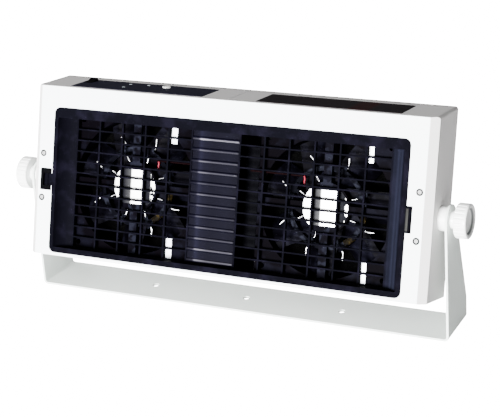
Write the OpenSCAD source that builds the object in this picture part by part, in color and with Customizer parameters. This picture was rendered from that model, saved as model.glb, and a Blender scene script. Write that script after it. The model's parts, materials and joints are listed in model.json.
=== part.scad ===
// Ionizing blower: two axial fans behind a hinged grille, in a housing that tilts on a bent stand.
// Millimetres, +Z up, front towards -Y. The origin is the underside of the middle base hole.

/* [Housing] */
// Width over the side walls
housing_w = 360; // [352:1:400]
// Height of the flat front face
front_h = 145; // [143:1:165]
// How much higher the rear edge of the top stands than its front edge
rear_rise = 8; // [4:0.5:12]
// Depth from the front face to the rear face
housing_d = 50; // [48:0.5:60]
// Thickness of the side, top and bottom walls
wall = 2; // [1.5:0.1:2.4]
// Width and depth of the slanted strip at each front corner
corner_bevel = 6; // [5:0.5:8]
// Radius of the long upper edges at the side walls
edge_r = 2.8; // [2:0.1:4.5]
// Radius of the long lower edges at the side walls
lower_edge_r = 0.8; // [0.4:0.1:4.5]
// Thickness of the front panel and the rear cover
plate_t = 2; // [1.5:0.1:2.5]
// Width of the parting line between the two case halves
seam_gap = 0.3; // [0.2:0.05:0.5]

/* [Tilt] */
// Angle by which the housing leans back
tilt_angle = 16.5; // [0:0.5:45]
// Height of the tilt axis above the bottom of the housing
pivot_height = 66; // [55:1:75]
// Height of the tilt axis above the surface that the stand rests on
pivot_z = 101; // [96:1:130]
// Length of the round spacers between the housing and the stand arms
spacer_len = 6.85; // [5:0.05:12]
// Outside radius of the spacers
spacer_r = 9.8; // [7:0.1:12]
// Gap at each face of an arm that lets the housing turn
side_play = 0.15; // [0.1:0.05:0.25]

/* [Stand] */
// Depth of the stand base, front to back
stand_d = 48; // [42:1:70]
// Thickness of the stand sheet
stand_t = 2; // [1.5:0.1:3]
// Outside radius of the two bends
bend_r = 4; // [3.2:0.1:6]
// Radius of the rounded arm ends
arm_tip_r = 12; // [10:0.5:16]
// Height at which the rear edge of an arm starts to slope
arm_kink_z = 20; // [10:1:40]
// Radius of the three base holes
base_hole_r = 2.75; // [2:0.05:4]
// Distance between the base holes
base_hole_pitch = 88; // [60:1:120]

/* [Knobs] */
// Radius of the pivot studs
stud_r = 3; // [2.5:0.1:4]
// Radial clearance round the studs
stud_play = 0.08; // [0.05:0.01:0.1]
// How far the studs reach into the housing
stud_reach = 13; // [11:0.5:16]
// Radius of the knob heads
knob_r = 14; // [11:0.5:18]
// Length of the knob heads
knob_len = 10; // [8:0.5:14]
// Radius of the knob necks
knob_neck_r = 7; // [5.5:0.1:8]
// Length of the knob necks
knob_neck_len = 5; // [3:0.5:8]
// Number of grip grooves round a knob
knob_grooves = 24; // [10:1:32]
// Depth of the grip grooves
knob_groove_depth = 0.4; // [0.2:0.05:0.8]
// Width of the rim round the dished face of a knob
knob_rim = 2.2; // [1.5:0.1:3]
// Depth of the dished face of a knob
knob_dish = 3; // [1:0.5:4]

/* [Grille] */
// Distance between each side of the grille frame and the side of the housing
grille_side_margin = 20.5; // [19.5:0.5:21.5]
// Distance between the top of the grille frame and the top of the front face
grille_top_margin = 18; // [16:0.5:20]
// Height of the lower edge of the grille above the bottom of the housing
grille_z = 3; // [3:0.5:6]
// Corner radius of the grille frame
grille_corner_r = 5; // [3:0.5:8]
// How far the grille frame stands out from the front face
grille_proud = 1; // [0.5:0.1:2]
// How far the grid lies behind the front face
grid_recess = 9.5; // [8:0.5:10]
// Thickness of the grid, front to back
grid_depth = 3; // [2:0.1:3.5]
// Width of the hollow side members of the frame
side_member = 17; // [15:0.5:18]
// Height of the upper member of the frame
top_member = 8.4; // [7:0.1:10]
// Height of the lower member of the frame
bottom_member = 4.6; // [4:0.1:7]
// Radius of the hollow in the side members
cove_r = 15; // [14:0.5:18]
// Number of rows of openings
grid_rows = 12; // [10:1:14]
// Number of columns of openings
grid_columns = 13; // [11:2:15]
// Thickness of the cross bars
bar_t = 1.2; // [0.8:0.1:1.6]
// Thickness of the upright ribs
rib_t = 1.5; // [1:0.1:2]
// Gap round the grille frame in the front panel
grille_gap = 0.4; // [0.3:0.05:0.6]
// Radius of the ridges on the blank centre louvre
ridge_r = 1.7; // [1:0.1:2]

/* [Grille hinge and catch] */
// Width of the hinge yoke beside the grille
yoke_w = 10; // [9:0.5:11]
// Height of the hinge yoke
yoke_h = 18.5; // [14:0.5:24]
// Thickness of each ear of the yoke
yoke_ear = 4; // [3:0.5:5]
// Radius of the hinge pin
hinge_pin_r = 1.5; // [1:0.1:1.8]
// Radial clearance of the grille knuckle on its pin
hinge_play = 0.06; // [0.03:0.01:0.1]
// Gap between the knuckle and the yoke
knuckle_gap = 0.4; // [0.3:0.05:0.6]
// Width of the finger catch at the free side of the grille
catch_w = 4.5; // [3:0.1:6]
// Height of the finger catch
catch_h = 20; // [12:0.5:28]
// How far the finger catch stands out from the grille frame
catch_proud = 1.2; // [0.5:0.1:2]

/* [Fans] */
// Height of the fan frames above the bottom of the housing
fan_low_gap = 5.5; // [4.5:0.5:6.5]
// Height kept free for the controls between the fan frames and the top of the front face
control_bay = 20.5; // [19.5:0.5:23]
// Thickness of the fans
fan_t = 25.4; // [24:0.1:26]
// Distance between the two fan axes
fan_pitch = 174; // [172:1:176]
// Distance of the front of the fans behind the front face
fan_front = 14.5; // [14:0.1:15.5]
// Thickness of a fan frame beside its air duct, at the thinnest place
duct_inset = 2.5; // [2.3:0.1:4]
// Thickness of the duct wall
duct_wall = 2; // [1.5:0.1:2.2]
// Thickness of the corner flanges
flange_t = 4; // [3:0.5:6]
// Distance of the corner holes from the sides of a fan frame
fan_hole_inset = 7; // [6.5:0.1:7.5]
// Radius of the corner holes
fan_hole_r = 2.2; // [2:0.05:2.5]
// Radius of the motor base
motor_r = 21; // [19:0.5:24]
// Width of the struts that carry the motor base
strut_w = 7; // [5:0.5:9]
// Number of struts
strut_count = 4; // [3:1:6]
// Thickness of the struts and the motor base
strut_t = 3; // [2:0.1:3.5]
// Number of fan blades
blade_count = 7; // [5:1:9]
// Thickness of a blade
blade_t = 1.4; // [1:0.1:2]
// Angle of the blades to the plane of the fan
blade_angle = 36; // [30:1:42]
// Gap between the blade tips and the duct
tip_gap = 1.5; // [1:0.1:3]
// Radius of the rotor shaft
shaft_r = 1.5; // [1:0.1:2]
// Radial clearance of the shaft in its bearings
shaft_play = 0.03; // [0.02:0.01:0.06]
// Outside radius of the bearings
bearing_r = 4; // [3.5:0.1:4.5]
// Width of one bearing
bearing_w = 4; // [3:0.5:5]
// Radius of the silver hub labels
label_r = 19.5; // [16:0.5:20.5]
// Height of the hub labels between their flat upper and lower edges
label_h = 29; // [20:1:34]

/* [Emitters] */
// Middle radius of the emitter rings
emitter_ring_r = 32; // [29:0.5:40]
// Radial width of the emitter rings
emitter_ring_w = 4; // [3:0.5:5]
// Number of emitter needles on a ring
needle_count = 8; // [4:1:10]
// Length of a needle
needle_len = 22; // [17:0.5:23]
// How far the needle points lie inside the middle of their ring
needle_reach = 10; // [7:0.5:10.5]
// Radius of a needle
needle_r = 0.7; // [0.4:0.05:0.8]
// Gap between the high-voltage module and each fan
module_gap = 5.5; // [1:0.5:8]
// Thickness of the high-voltage module
module_t = 22; // [18:1:26]
// Width of the bright strips that clip a fan
clip_w = 5.4; // [4:0.1:10]
// Distance of the clip strips from the axis of their fan
clip_x = 35.6; // [30:0.1:40]
// Length of the clip strips
clip_len = 20; // [16:0.5:22]
// Thickness of the clip strips
clip_t = 0.8; // [0.5:0.1:0.9]

/* [Rear] */
// How far the round air intakes stay inside the sides of the fan frames
intake_inset = 4.5; // [3.5:0.5:7]
// Number of rings on an intake guard
guard_rings = 6; // [4:1:8]
// Width of the rings of a guard
guard_bar = 1.6; // [1.2:0.1:2]
// Thickness of the intake guards
guard_t = 3; // [2:0.1:4]
// Radius of the posts that carry the fans
post_r = 5; // [4:0.1:5.5]
// Radius of the hole of the power inlet
inlet_hole_r = 2.8; // [2.5:0.05:3.2]
// Depth of the hole of the power inlet
inlet_depth = 9; // [8:0.5:10]
// Side of the square body of the power inlet
inlet_size = 12; // [10:0.5:14]
// Height of the power inlet above the bottom of the housing
inlet_z = 24; // [18:1:34]

/* [Top] */
// Length of the control panel and of the name plate
plate_len = 124; // [110:1:130]
// Width of the control panel and of the name plate, front to back
plate_w = 33; // [28:0.5:34]
// Distance of the middle of each plate from the middle of the housing
plate_x = 86.5; // [80:0.5:90]
// Distance of the front edge of the plates behind the front edge of the top
plate_front = 5; // [4.5:0.5:8]
// Thickness of the plates
overlay_t = 1.2; // [0.8:0.1:1.4]
// How far the plates stand out of the top
overlay_proud = 0.3; // [0.2:0.05:0.5]
// Width of the power rocker
rocker_w = 7; // [6:0.5:9]
// Length of the power rocker
rocker_len = 13; // [11:0.5:15]
// Angle through which the rocker tips
rocker_angle = 16; // [10:1:20]
// Radius of the push button
button_r = 3.5; // [2.5:0.1:5]
// How far the push button stands out
button_proud = 1.4; // [1.1:0.1:2.5]
// Distance of the push button from the middle of the housing
button_x = 69.5; // [60:0.5:80]
// Radius of the indicator lights
led_r = 1.3; // [0.9:0.1:2]
// Clearance round buttons, lights and the rocker
control_gap = 0.3; // [0.2:0.05:0.4]

/* [Screws] */
// Radius of the heads of the front and rear screws
head_r = 2.1; // [1.9:0.05:2.3]
// Height of the heads of the front and rear screws
head_t = 1.2; // [1:0.05:1.3]
// Gap round a sunk head of the front screws
head_gap = 0.6; // [0.3:0.05:0.8]
// Radius of the shanks of the front and rear screws
screw_r = 1.4; // [1:0.1:1.6]
// Distance of the front screws from the sides of the housing
front_screw_inset = 10.5; // [10:0.5:12]
// Distance of the lower front screws below the fan axes
front_screw_below = 16; // [14:0.5:21]
// Distance of the upper front screws above the fan axes
front_screw_above = 22; // [14.5:0.5:34]
// Length of thread that the front and rear screws have in the case
screw_len = 7; // [5:0.5:8]

/* [Hidden] */
$fn = 64;
fine = 96;
part_gap = 0.05;
cut = 1;
slot_w = 0.5;

left = -1;
right = 1;
half_w = housing_w / 2;
rear_h = front_h + rear_rise;
top_slope = atan(rear_rise / housing_d);
inner_x = half_w - wall;
rear_face = housing_d - plate_t;
pivot_depth = housing_d / 2;
pivot_y = -stand_d / 2 + arm_tip_r;

// Fans
fan_size = front_h - fan_low_gap - control_bay;
fan_z = fan_low_gap + fan_size / 2;
duct_r = fan_size / 2 - duct_inset;
fan_hole_pitch = fan_size - 2 * fan_hole_inset;
fan_corner_r = 4;
fan_head_r = 3.6;
fan_head_t = 2.2;
fan_back = fan_front + fan_t;
base_back = fan_t - strut_t;

// Stand
arm_in = half_w + spacer_len + side_play;
arm_out = arm_in + stand_t;
stud_hole_r = stud_r + stud_play;
insert_flange_r = 8;
insert_flange_t = 2;
insert_wall = 2.5;
insert_len = 10;
knob_chamfer = 0.6;
knob_dish_slope = 3.5;

// Front
panel_half = half_w - corner_bevel;
grille_w = housing_w - 2 * grille_side_margin;
grille_h = front_h - grille_z - grille_top_margin;
grille_mid = grille_z + grille_h / 2;
open_w = grille_w - 2 * side_member;
open_low = grille_z + bottom_member;
open_high = grille_z + grille_h - top_member;
open_h = open_high - open_low;
row_pitch = open_h / grid_rows;
column_pitch = open_w / grid_columns;
grid_back = grid_recess + grid_depth;
ridge_sink = 1.2;
blank_from = -1.5 * column_pitch;
blank_to = 0.5 * column_pitch;
grille_edge = grille_w / 2;
yoke_gap = 0.8;
yoke_x = -grille_edge - grille_gap - yoke_w / 2 - yoke_gap;
yoke_thick = 5;
yoke_face = -1.5;
yoke_corner_r = 0.8;
hinge_pin_len = yoke_h - 2;
catch_gap = 0.6;
hinge_depth = yoke_face + yoke_thick / 2;
hinge_x = yoke_x + 0.5;
knuckle_r = yoke_thick / 2 - 0.1;
knuckle_h = yoke_h - 2 * yoke_ear - 2 * knuckle_gap;

// Bosses and sunk screws
boss_wall = 2.6;
boss_floor = 1;
front_screw_x = half_w - front_screw_inset;
front_screw_heights = [fan_z - front_screw_below, fan_z + front_screw_above];
sunk_r = head_r + head_gap;

// Rotors, emitters and high-voltage module
rotor_low = 3;
rotor_high = base_back - 3.4;
hub_wall = 1.6;
magnet_t = 1.8;
rotor_r = motor_r - 0.5;
tube_wall = 1.5;
tube_low = rotor_low + 3.5;
stator_r = rotor_r - hub_wall - magnet_t - 0.8;
blade_reach = duct_r - tip_gap;
blade_chord = 26;
blade_arc_r = 32;
blade_root_cut = 8;
ring_t = 2.6;
lug_len = 3;
lug_w = 3.2;
needle_point_r = 0.1;
label_t = 0.4;

module_w = fan_pitch - fan_size - 2 * module_gap;
module_h = 84;
module_eye_r = 3;
module_eye_inset = 6;
lead_r = 0.75;
lead_y = 24;

// Rear
intake_r = fan_size / 2 - intake_inset;
cover_top = front_h - wall + rear_rise * rear_face / housing_d - 2 * part_gap;
rear_screw_low = wall + 6;
rear_screw_high = cover_top - 7;
side_bay_x = (fan_pitch / 2 + fan_size / 2 + inner_x) / 2;
rear_screw_columns = [12, side_bay_x];
inlet_x = side_bay_x;
inlet_floor = 2;
inlet_rim = 2;
inlet_rim_t = 1;

// Top
overlay_sink = overlay_t - overlay_proud;
rocker_x = -plate_x - plate_len / 2 + rocker_w / 2 + 2;
rocker_t = plate_front + plate_w - rocker_len / 2 - 1.5;
button_t = plate_front + plate_w * 0.74;
light_places = [[-104, 0.36], [-105, 0.78], [-88, 0.82]];
rocker_axis_z = -wall - 2.2;
rocker_proud = 0.5;
rocker_rise = rocker_proud - rocker_axis_z;
rocker_bulge = 0.5;
rocker_body_margin = 2.5;
rocker_body_h = 12;
trunnion_r = 1;
trunnion_len = 1.2;
trunnion_play = 0.06;
button_travel = 0.8;
stem_r = 1.5;
stem_play = 0.06;
led_proud = 0.2;
board_drop = 11;
board_t = 1.6;

// Carries the housing from its own upright frame to its leaning place on the stand.
module in_housing() {
    translate([0, pivot_y, pivot_z]) rotate([-tilt_angle, 0, 0])
        translate([0, -pivot_depth, -pivot_height]) children();
}

// A flat shape in width and height, extruded from one depth to another.
module slab(from, to) {
    translate([0, to, 0]) rotate([90, 0, 0]) linear_extrude(to - from) children();
}

// Puts a shape made along Z on the axis of one fan, with Z pointing to the front.
module on_fan(side) {
    in_housing() translate([side * fan_pitch / 2, fan_back, fan_z]) rotate([90, 0, 0]) children();
}

// The sloping top as a flat floor: Y runs back from the front edge and Z stands off the surface.
module on_top() {
    translate([0, 0, front_h]) rotate([top_slope, 0, 0]) children();
}

// Puts a shape made along Z on the tilt axis, with Z pointing out of one side.
module on_pivot(side) {
    translate([0, pivot_y, pivot_z]) rotate([0, side * 90, 0]) children();
}

module rounded_square(w, h, r) {
    square([w - 2 * r, h], center = true);
    square([w, h - 2 * r], center = true);
    for (x = [-1, 1], y = [-1, 1]) translate([x * (w / 2 - r), y * (h / 2 - r)]) circle(r);
}

module tube(outer, inner, h) {
    difference() {
        cylinder(h = h, r = outer);
        translate([0, 0, -cut]) cylinder(h = h + 2 * cut, r = inner);
    }
}

module pan_screw(head_r, head_h, shank_r, shank_len) {
    difference() {
        union() {
            cylinder(h = head_h, r = head_r);
            translate([0, 0, -shank_len]) cylinder(h = shank_len + cut / 2, r = shank_r);
        }
        for (a = [0, 90]) rotate(a) translate([-head_r * 0.6, -slot_w / 2, head_h * 0.4])
            cube([head_r * 1.2, slot_w, head_h]);
    }
}

// ---------------------------------------------------------------- stand

module stand_front_shape() {
    height = pivot_z + arm_tip_r;
    difference() {
        union() {
            translate([-arm_out, bend_r]) square([2 * arm_out, height - bend_r]);
            translate([-arm_out + bend_r, 0]) square([2 * (arm_out - bend_r), bend_r + cut]);
            for (s = [-1, 1]) translate([s * (arm_out - bend_r), bend_r]) circle(bend_r);
        }
        inner_r = bend_r - stand_t;
        translate([-arm_in, bend_r]) square([2 * arm_in, height]);
        translate([-arm_in + inner_r, stand_t]) square([2 * (arm_in - inner_r), height]);
        for (s = [-1, 1]) translate([s * (arm_in - inner_r), bend_r]) circle(inner_r);
    }
}

// Arm outline in depth and height: upright in front, sloping behind, round at the top.
module stand_side_shape() {
    back = stand_d / 2;
    run = pivot_y - back;
    rise = pivot_z - arm_kink_z;
    reach = norm([run, rise]);
    touch = atan2(rise, run) - 90 + asin(arm_tip_r / reach);
    polygon([
        [-back, 0], [back, 0], [back, arm_kink_z],
        [pivot_y + arm_tip_r * cos(touch), pivot_z + arm_tip_r * sin(touch)],
        [pivot_y, pivot_z], [-back, pivot_z]
    ]);
    translate([pivot_y, pivot_z]) circle(arm_tip_r);
}

module stand_bracket() {
    color("whitesmoke") difference() {
        intersection() {
            slab(-stand_d, stand_d) stand_front_shape();
            rotate([90, 0, 90]) translate([0, 0, -housing_w]) linear_extrude(2 * housing_w)
                stand_side_shape();
        }
        for (i = [-1:1]) translate([i * base_hole_pitch, 0, -cut])
            cylinder(h = stand_t + 2 * cut, r = base_hole_r);
        for (side = [left, right]) on_pivot(side) translate([0, 0, arm_in - cut])
            cylinder(h = stand_t + 2 * cut, r = stud_hole_r);
    }
}

// ---------------------------------------------------------------- housing

// Cuts a square edge that runs along Y down to a round one of the given radius.
module edge_cutter(r, length) {
    difference() {
        translate([0, -cut, 0]) cube([r + cut, length + 2 * cut, r + cut]);
        translate([0, -2 * cut, 0]) rotate([-90, 0, 0]) cylinder(h = length + 4 * cut, r = r);
    }
}

module case_block() {
    difference() {
        intersection() {
            rotate([90, 0, 90]) linear_extrude(half_w)
                polygon([[0, 0], [housing_d, 0], [housing_d, rear_h], [0, front_h]]);
            linear_extrude(2 * front_h) polygon([
                [0, 0], [panel_half, 0], [half_w, corner_bevel], [half_w, housing_d], [0, housing_d]
            ]);
        }
        translate([half_w - edge_r, 0, 0]) on_top() translate([0, 0, -edge_r])
            edge_cutter(edge_r, 2 * housing_d);
        translate([half_w - lower_edge_r, 0, lower_edge_r]) rotate([0, 90, 0])
            edge_cutter(lower_edge_r, housing_d);
    }
}

module case_cavity() {
    slant = wall * sqrt(2);
    inside = panel_half - slant + plate_t;
    intersection() {
        rotate([90, 0, 90]) translate([0, 0, -cut]) linear_extrude(inner_x + cut) polygon([
            [-cut, wall], [housing_d + cut, wall],
            [housing_d + cut, rear_h - wall + cut * sin(top_slope)], [-cut, front_h - wall]
        ]);
        linear_extrude(2 * front_h) polygon([
            [-cut, plate_t], [inside, plate_t], [inner_x, plate_t + inner_x - inside],
            [inner_x, housing_d + cut], [-cut, housing_d + cut]
        ]);
    }
}

// Blocks inside the case that take the front screws and the rear screws.
module case_bosses() {
    half = screw_r + boss_wall;
    depth = screw_len + boss_floor;
    intersection() {
        case_block();
        union() {
            for (z = front_screw_heights) translate([front_screw_x - half, plate_t, z - half])
                cube([half_w, depth, 2 * half]);
            for (x = rear_screw_columns) {
                translate([x - half, rear_face - depth, 0])
                    cube([2 * half, depth, rear_screw_low + half]);
                translate([x - half, rear_face - depth, rear_screw_high - half])
                    cube([2 * half, depth, front_h]);
            }
        }
    }
}

// One half of the wrap-round case, made for the right side.
module case_half_shape() {
    difference() {
        union() {
            difference() {
                case_block();
                case_cavity();
                translate([-cut, -cut, -cut]) cube([panel_half + cut, plate_t + cut, 2 * front_h]);
                translate([-cut, -cut, -cut]) cube([seam_gap / 2 + cut, 2 * housing_d, 2 * front_h]);
            }
            case_bosses();
        }
        for (x = rear_screw_columns, z = [rear_screw_low, rear_screw_high])
            translate([x, rear_face - screw_len, z]) rotate([-90, 0, 0])
                cylinder(h = screw_len + cut, r = screw_r + part_gap);
        for (z = front_screw_heights) translate([front_screw_x, 0, z]) rotate([-90, 0, 0])
            cylinder(h = plate_t + screw_len, r = screw_r + part_gap);
        translate([0, pivot_depth, pivot_height]) rotate([0, 90, 0])
            cylinder(h = housing_w, r = stud_hole_r);
        on_top() translate([plate_x, plate_front + plate_w / 2, -overlay_sink]) linear_extrude(2 * cut)
            square([plate_len + 2 * part_gap, plate_w + 2 * part_gap], center = true);
    }
}

// Holes for the controls, cut through the top wall and the control panel alike.
module control_holes() {
    on_top() translate([0, 0, -2 * wall]) {
        translate([-button_x, button_t, 0]) cylinder(h = 4 * wall, r = button_r + control_gap);
        for (p = light_places) translate([p.x, plate_front + plate_w * p.y, 0])
            cylinder(h = 4 * wall, r = led_r + part_gap);
        translate([rocker_x - rocker_w / 2 - control_gap, rocker_t - rocker_len / 2 - control_gap, 0])
            cube([rocker_w + 2 * control_gap, rocker_len + 2 * control_gap, 4 * wall]);
    }
}

module left_case_half() {
    color("gainsboro") in_housing() difference() {
        mirror([1, 0, 0]) case_half_shape();
        control_holes();
    }
}

module right_case_half() {
    color("gainsboro") in_housing() case_half_shape();
}

module front_panel() {
    color("white") in_housing() difference() {
        slab(0, plate_t) translate([0, front_h / 2])
            square([2 * panel_half - 2 * part_gap, front_h], center = true);
        slab(-cut, plate_t + cut) {
            translate([0, grille_mid]) rounded_square(
                grille_w + 2 * grille_gap, grille_h + 2 * grille_gap, grille_corner_r + grille_gap);
            translate([yoke_x, fan_z])
                square([yoke_w + 2 * part_gap, yoke_h + 2 * part_gap], center = true);
            translate([yoke_x + yoke_w / 2 - cut, fan_z - knuckle_h / 2 - knuckle_gap])
                square([2 * cut + grille_gap, knuckle_h + 2 * knuckle_gap]);
            translate([grille_edge - cut, fan_z - catch_h / 2 - catch_gap])
                square([cut + catch_w + catch_gap, catch_h + 2 * catch_gap]);
        }
        for (side = [left, right], z = front_screw_heights)
            translate([side * front_screw_x, -cut, z]) rotate([-90, 0, 0]) {
                cylinder(h = plate_t + 2 * cut, r = screw_r + part_gap);
                cylinder(h = head_t + cut, r = sunk_r);
            }
    }
}

// Cross-slotted screws whose heads lie flush in the front panel.
module front_screws() {
    color("white") in_housing()
        for (side = [left, right], z = front_screw_heights)
            translate([side * front_screw_x, head_t, z]) rotate([90, 0, 0])
                pan_screw(head_r, head_t, screw_r, plate_t - head_t + screw_len - 1);
}

// ---------------------------------------------------------------- rear

module rear_cover() {
    color("gainsboro") in_housing() difference() {
        union() {
            slab(rear_face, housing_d) difference() {
                translate([-inner_x + part_gap, wall + part_gap])
                    square([2 * (inner_x - part_gap), cover_top - wall - part_gap]);
                for (side = [left, right]) translate([side * fan_pitch / 2, fan_z]) circle(intake_r);
            }
            for (side = [left, right]) slab(fan_back, rear_face + wall / 2)
                translate([side * fan_pitch / 2, fan_z]) fan_corners() circle(post_r);
        }
        for (side = [left, right]) slab(fan_back - cut, housing_d + cut)
            translate([side * fan_pitch / 2, fan_z]) fan_corners() circle(fan_hole_r);
        at_rear_screws() translate([0, 0, -plate_t - cut])
            cylinder(h = plate_t + 2 * cut, r = screw_r + part_gap);
        slab(rear_face - cut, housing_d + cut) translate([inlet_x, inlet_z])
            square([inlet_size + 2 * part_gap, inlet_size + 2 * part_gap], center = true);
    }
}

// The places of the rear screws, with Z pointing out of the rear cover.
module at_rear_screws() {
    for (side = [left, right], x = rear_screw_columns, z = [rear_screw_low, rear_screw_high])
        translate([side * x, housing_d, z]) rotate([-90, 0, 0]) children();
}

module fan_corners() {
    for (x = [-1, 1], y = [-1, 1]) translate([x, y] * fan_hole_pitch / 2) children();
}

// Moulded finger guard of an intake: rings on a cross, with a lug at each fan screw.
module intake_guard() {
    step = intake_r / guard_rings;
    reach = fan_hole_pitch / 2 * sqrt(2);
    translate([0, 0, -guard_t]) linear_extrude(guard_t) difference() {
        union() {
            for (i = [1:guard_rings]) difference() {
                circle(i * step + guard_bar, $fn = fine);
                circle(i * step - guard_bar / 2, $fn = fine);
            }
            for (a = [45, 135]) rotate(a) square([2 * reach, 2.5 * guard_bar], center = true);
            fan_corners() circle(post_r);
        }
        fan_corners() circle(fan_hole_r);
    }
}

module on_rear(side) {
    in_housing() translate([side * fan_pitch / 2, housing_d, fan_z]) rotate([90, 0, 0]) children();
}

module left_intake_guard() {
    color("silver") on_rear(left) intake_guard();
}

module right_intake_guard() {
    color("silver") on_rear(right) intake_guard();
}

module filter_pad(side) {
    in_housing() slab(fan_back, rear_face) translate([side * fan_pitch / 2, fan_z]) circle(intake_r + 2);
}

module left_filter() {
    color("dimgray") filter_pad(left);
}

module right_filter() {
    color("dimgray") filter_pad(right);
}

module fan_screws() {
    head_seat = housing_d + guard_t;
    tip_len = 8;
    length = head_seat - fan_back + flange_t + tip_len;
    color("silver") for (side = [left, right]) in_housing()
        translate([side * fan_pitch / 2, head_seat, fan_z]) rotate([-90, 0, 0]) fan_corners()
            pan_screw(fan_head_r, fan_head_t, fan_hole_r - part_gap, length);
}

module rear_screws() {
    color("silver") in_housing() at_rear_screws()
        pan_screw(head_r, head_t, screw_r, plate_t + screw_len - 1);
}

module power_inlet() {
    color([0.1, 0.1, 0.1]) in_housing() {
        difference() {
            union() {
                slab(rear_face - inlet_depth - inlet_floor, housing_d) translate([inlet_x, inlet_z])
                    square(inlet_size, center = true);
                slab(housing_d, housing_d + inlet_rim_t) translate([inlet_x, inlet_z])
                    rounded_square(inlet_size + 2 * inlet_rim, inlet_size + 2 * inlet_rim, inlet_rim);
            }
            translate([inlet_x, housing_d + inlet_rim_t + cut, inlet_z]) rotate([90, 0, 0])
                cylinder(h = inlet_depth + inlet_rim_t + cut, r = inlet_hole_r);
        }
    }
}

// ---------------------------------------------------------------- top

module control_panel() {
    color([0.08, 0.08, 0.12]) in_housing() difference() {
        on_top() translate([-plate_x, plate_front + plate_w / 2, -overlay_sink])
            linear_extrude(overlay_t) square([plate_len, plate_w], center = true);
        control_holes();
    }
}

module name_plate() {
    color([0.12, 0.09, 0.13]) in_housing() on_top()
        translate([plate_x, plate_front + plate_w / 2, -overlay_sink]) linear_extrude(overlay_t)
            square([plate_len, plate_w], center = true);
}

// Rocker cap in its own frame: X from its front end to its raised rear end, Z along its axis.
// The rear half is drawn as it lies when pressed, and turned up from there.
module power_rocker() {
    half = rocker_len / 2;
    crown = rocker_rise + rocker_bulge;
    tip_x = half * cos(rocker_angle) - crown * sin(rocker_angle);
    tip_y = half * sin(rocker_angle) + crown * cos(rocker_angle);
    trunnion_span = rocker_w + 2 * trunnion_len;
    color([0.06, 0.06, 0.06]) in_housing() on_top() translate([rocker_x, rocker_t, rocker_axis_z])
        rotate([90, 0, 90]) {
            translate([0, 0, -rocker_w / 2]) linear_extrude(rocker_w) polygon([
                [-half, rocker_rise], [0, crown], [tip_x, tip_y],
                [half * cos(rocker_angle), half * sin(rocker_angle)], [trunnion_r, -trunnion_r],
                [-trunnion_r, -trunnion_r], [-half, 0]
            ]);
            translate([0, 0, -trunnion_span / 2]) cylinder(h = trunnion_span, r = trunnion_r);
        }
}

module rocker_housing() {
    grow = 2 * rocker_body_margin;
    color([0.1, 0.1, 0.1]) in_housing() on_top() translate([rocker_x, rocker_t, -wall]) difference() {
        translate([0, 0, -rocker_body_h]) linear_extrude(rocker_body_h)
            square([rocker_w + grow, rocker_len + grow], center = true);
        translate([0, 0, -rocker_body_h + 2]) linear_extrude(rocker_body_h)
            square([rocker_w + 2 * control_gap, rocker_len + 2 * control_gap], center = true);
        translate([-rocker_w, 0, wall + rocker_axis_z]) rotate([0, 90, 0])
            cylinder(h = 2 * rocker_w, r = trunnion_r + trunnion_play);
    }
}

// Button cap with a collar that the top holds down and a stem that enters its switch.
module push_button() {
    chamfer = 0.5;
    collar_top = -wall - 0.1;
    stem_low = -board_drop + button_travel + 1;
    color("white") in_housing() on_top() translate([-button_x, button_t, 0]) {
        translate([0, 0, collar_top]) cylinder(h = button_proud - chamfer - collar_top, r = button_r);
        translate([0, 0, button_proud - chamfer])
            cylinder(h = chamfer, r1 = button_r, r2 = button_r - chamfer, $fn = fine);
        translate([0, 0, collar_top - 1]) cylinder(h = 1, r = button_r + 1);
        translate([0, 0, stem_low]) cylinder(h = collar_top - stem_low, r = stem_r);
    }
}

module button_switch() {
    color([0.15, 0.15, 0.15]) in_housing() on_top() translate([-button_x, button_t, -board_drop])
        difference() {
            translate([-3.5, -3.5, 0]) cube([7, 7, 5]);
            translate([0, 0, 1]) cylinder(h = 5, r = stem_r + stem_play);
        }
}

module indicator_lights() {
    color([0.5, 0.9, 0.5]) in_housing() on_top() for (p = light_places)
        translate([p.x, plate_front + plate_w * p.y, -board_drop])
            cylinder(h = board_drop + overlay_proud + led_proud, r = led_r);
}

// Circuit board below the control panel, on four posts.
module control_board() {
    board_w = plate_len - 14;
    board_d = plate_w - 4;
    post_inset = 3;
    color("darkgreen") in_housing() on_top()
        translate([-plate_x + 6, plate_front + plate_w / 2, -board_drop - board_t]) {
            linear_extrude(board_t) square([board_w, board_d], center = true);
            for (x = [-1, 1], y = [-1, 1])
                translate([x * (board_w / 2 - post_inset), y * (board_d / 2 - post_inset), 0])
                    cylinder(h = board_t + board_drop - wall, r = 2);
        }
}

// ---------------------------------------------------------------- grille

module grid_openings() {
    for (i = [0:grid_columns - 1], j = [0:grid_rows - 1]) {
        x = -open_w / 2 + i * column_pitch;
        if (x < blank_from - cut || x > blank_to - cut)
            translate([x + rib_t / 2, open_low + j * row_pitch + bar_t / 2])
                square([column_pitch - rib_t, row_pitch - bar_t]);
    }
    translate([blank_from + rib_t / 2, open_low + bar_t / 2])
        square([blank_to - blank_from - rib_t, open_h - bar_t]);
}

module grille() {
    color([0.1, 0.1, 0.17]) in_housing() difference() {
        union() {
            difference() {
                slab(-grille_proud, grid_back) translate([0, grille_mid])
                    rounded_square(grille_w, grille_h, grille_corner_r);
                slab(-grille_proud - cut, grid_recess) translate([-open_w / 2, open_low])
                    square([open_w, open_h]);
                slab(grid_recess - cut, grid_back + cut) grid_openings();
                for (side = [left, right])
                    translate([side * (open_w / 2 - 1), grid_recess - cove_r, open_low])
                        cylinder(h = open_h, r = cove_r, $fn = fine);
            }
            hinge_lug();
        }
        translate([hinge_x, hinge_depth, fan_z - grille_h / 2])
            cylinder(h = grille_h, r = hinge_pin_r + hinge_play);
    }
}

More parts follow.
